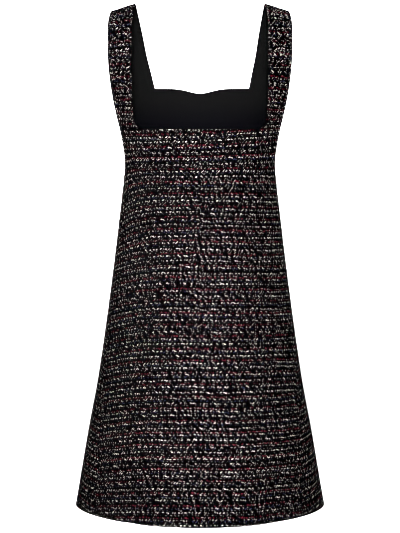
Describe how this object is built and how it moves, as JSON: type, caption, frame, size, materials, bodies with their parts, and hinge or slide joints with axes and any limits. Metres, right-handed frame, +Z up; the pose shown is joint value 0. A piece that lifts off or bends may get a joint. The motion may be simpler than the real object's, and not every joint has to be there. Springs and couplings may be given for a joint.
{
  "type": "flared dress",
  "caption": "Sleeveless flared mini dress in dark nubby tweed, worn shape without a wearer, with wide straps, a square back neckline and a black-lined sweetheart front.",
  "frame": {"origin": "midway between the two shoulder seams, where the wearer's shoulders carry the dress", "axes": "+Z up along the worn dress, +Y towards the wearer's front, +X to the right as the back is seen"},
  "size_m": [0.427, 0.3448, 0.8532],
  "materials": {
    "tweed": "nubby woven tweed, black with cream, crimson and navy yarns, matt",
    "lining": "plain black lining, low sheen"
  },
  "bodies": {
    "root": {"back_left": "tweed", "back_right": "tweed", "front": "tweed", "front_lining": "lining"}
  },
  "joints": []
}
